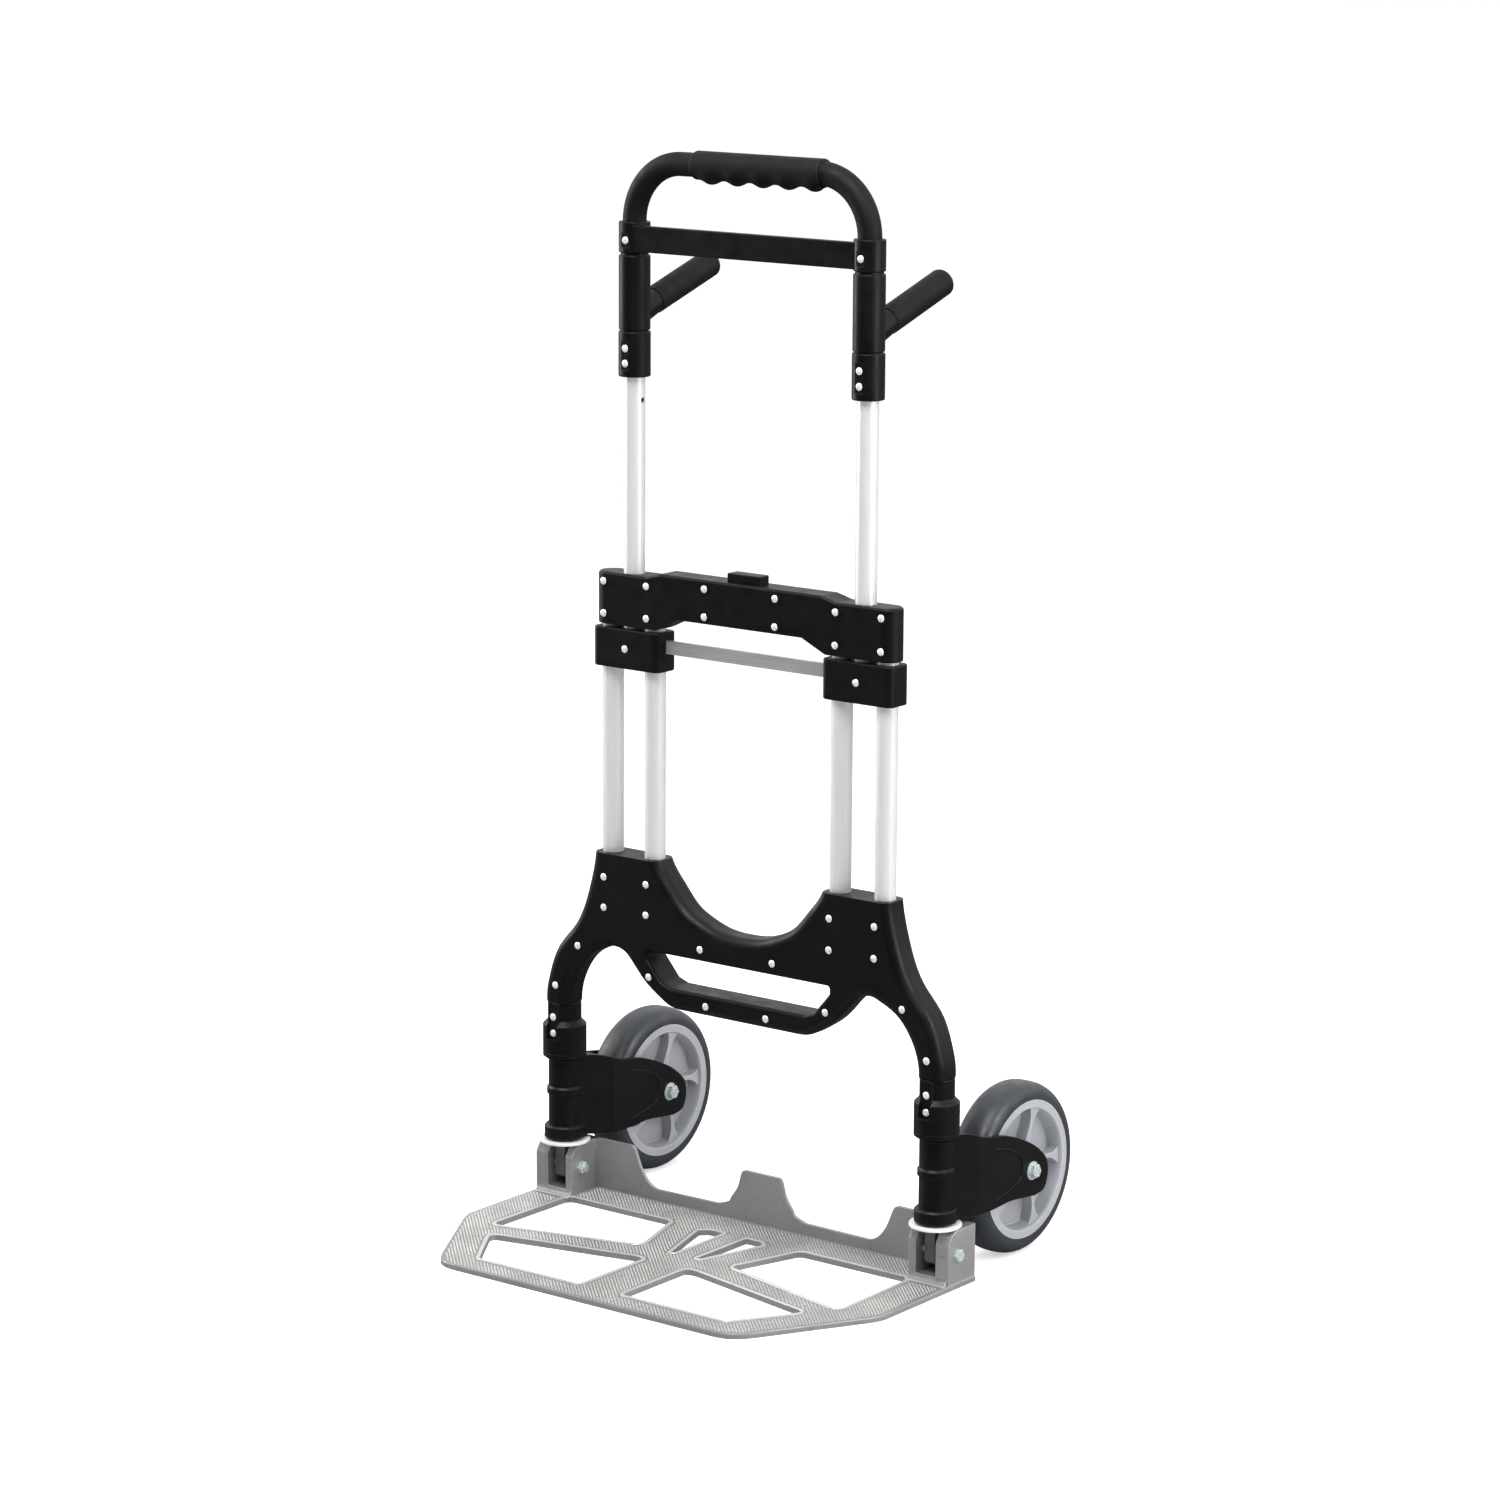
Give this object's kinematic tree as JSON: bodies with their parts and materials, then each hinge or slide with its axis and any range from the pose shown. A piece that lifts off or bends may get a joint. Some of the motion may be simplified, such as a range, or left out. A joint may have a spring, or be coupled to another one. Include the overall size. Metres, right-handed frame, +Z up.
{
  "type": "folding luggage cart",
  "caption": "Folding luggage cart with a telescoping tube handle, folding cast toe plate, swing-in wheels and swivelling rear hand grips.",
  "frame": {"origin": "on the floor, on the symmetry plane, under the plane of the tubes; the underside of the toe plate lies on z = 0", "axes": "+Z up along the tubes, -Y to the front where the load stands, +X to the right seen from the front"},
  "size_m": [0.62, 0.564, 1.2695],
  "materials": {
    "black_shell": "satin moulded black plastic with a fine grain",
    "black_grip": "matte black foam and rubber",
    "bright_tube": "bright anodised tube",
    "brushed_bar": "brushed along its length",
    "cast_plate": "satin cast grey with knurled tread",
    "grey_post": "plain grey steel",
    "rivet": "bright domed rivet",
    "zinc_bolt": "bluish zinc plated",
    "white_washer": "white nylon-faced washer",
    "tyre": "dark bluish grey rubber, smooth",
    "grey_rim": "light grey moulded plastic",
    "bearing": "steel bearing",
    "nylon_bush": "off-white nylon",
    "spring_wire": "spring wire"
  },
  "bodies": {
    "frame": {"panel_front": "black_shell", "panel_rear": "black_shell", "panel_rivets": "rivet", "outer_tube_left": "bright_tube", "outer_tube_right": "bright_tube", "inner_tube_left": "bright_tube", "inner_tube_right": "bright_tube", "leg_post_left": "grey_post", "leg_post_right": "grey_post", "cam_collar_left": "black_shell", "cam_collar_right": "black_shell", "collar_rivets": "rivet", "post_washer_left": "white_washer", "post_washer_right": "white_washer", "crossbar_front": "black_shell", "crossbar_rear": "black_shell", "crossbar_rivets": "rivet", "button_spring": "spring_wire"},
    "handle": {"handle_tube": "bright_tube", "bow_cover": "black_grip", "handle_grip": "black_grip", "handle_bridge": "black_shell", "handle_rivets": "rivet", "lower_sleeve_left": "black_shell", "lower_sleeve_right": "black_shell", "slider_left": "black_shell", "slider_right": "black_shell", "link_bar": "brushed_bar"},
    "rear_handle_left": {"swivel_sleeve_left": "black_shell", "rear_grip_left": "black_grip"},
    "rear_handle_right": {"swivel_sleeve_right": "black_shell", "rear_grip_right": "black_grip"},
    "release_button": {"release_button": "black_shell"},
    "lock_pin_left": {"lock_pin_left": "zinc_bolt"},
    "lock_pin_right": {"lock_pin_right": "zinc_bolt"},
    "toe_plate": {"toe_plate": "cast_plate", "hinge_bolt_left": "zinc_bolt", "hinge_bolt_right": "zinc_bolt", "hinge_nut_left": "zinc_bolt", "hinge_nut_right": "zinc_bolt"},
    "wheel_bracket_left": {"wheel_bracket_left": "black_shell", "swivel_bush_left": "nylon_bush", "axle_bolt_left": "zinc_bolt", "axle_washers_left": "zinc_bolt", "axle_nut_left": "zinc_bolt"},
    "wheel_left": {"tyre_left": "tyre", "rim_left": "grey_rim", "wheel_bearings_left": "bearing"},
    "wheel_bracket_right": {"wheel_bracket_right": "black_shell", "swivel_bush_right": "nylon_bush", "axle_bolt_right": "zinc_bolt", "axle_washers_right": "zinc_bolt", "axle_nut_right": "zinc_bolt"},
    "wheel_right": {"tyre_right": "tyre", "rim_right": "grey_rim", "wheel_bearings_right": "bearing"}
  },
  "joints": [
    {"name": "handle_slide", "type": "slide", "parent": "frame", "child": "handle", "axis": [0, 0, -1], "range_m": [0, 0.222]},
    {"name": "rear_handle_left_swing", "type": "hinge", "parent": "handle", "child": "rear_handle_left", "pos_m": [-0.1665, 0, 1.1], "axis": [0, 0, -1], "range_deg": [0, 90]},
    {"name": "rear_handle_right_swing", "type": "hinge", "parent": "handle", "child": "rear_handle_right", "pos_m": [0.1665, 0, 1.1], "axis": [0, 0, 1], "range_deg": [0, 90]},
    {"name": "button_press", "type": "slide", "parent": "frame", "child": "release_button", "axis": [0, 0, -1], "range_m": [0, 0.005], "stiffness_N_per_m": 600, "springref_m": -0.001, "deforming": ["button_spring"]},
    {"name": "lock_pin_left_slide", "type": "slide", "parent": "frame", "child": "lock_pin_left", "axis": [1, 0, 0], "range_m": [0, 0.005]},
    {"name": "lock_pin_right_slide", "type": "slide", "parent": "frame", "child": "lock_pin_right", "axis": [-1, 0, 0], "range_m": [0, 0.005]},
    {"name": "toe_plate_fold", "type": "hinge", "parent": "frame", "child": "toe_plate", "pos_m": [0, 0, 0.04], "axis": [-1, 0, 0], "range_deg": [0, 90]},
    {"name": "wheel_bracket_left_swing", "type": "hinge", "parent": "frame", "child": "wheel_bracket_left", "pos_m": [-0.2735, 0, 0.13], "axis": [0, 0, -1], "range_deg": [0, 80]},
    {"name": "wheel_left_spin", "type": "hinge", "parent": "wheel_bracket_left", "child": "wheel_left", "pos_m": [-0.2683, 0.1585, 0.1015], "axis": [1, 0, 0], "continuous": true},
    {"name": "wheel_bracket_right_swing", "type": "hinge", "parent": "frame", "child": "wheel_bracket_right", "pos_m": [0.2735, 0, 0.13], "axis": [0, 0, 1], "range_deg": [0, 80]},
    {"name": "wheel_right_spin", "type": "hinge", "parent": "wheel_bracket_right", "child": "wheel_right", "pos_m": [0.2683, 0.1585, 0.1015], "axis": [1, 0, 0], "continuous": true}
  ],
  "couplings": [
    {"joint": "lock_pin_left_slide", "follows": "button_press", "ratio": 1},
    {"joint": "lock_pin_right_slide", "follows": "button_press", "ratio": 1},
    {"joint": "wheel_bracket_left_swing", "follows": "toe_plate_fold", "ratio": 0.8888},
    {"joint": "wheel_bracket_right_swing", "follows": "toe_plate_fold", "ratio": 0.8888}
  ]
}
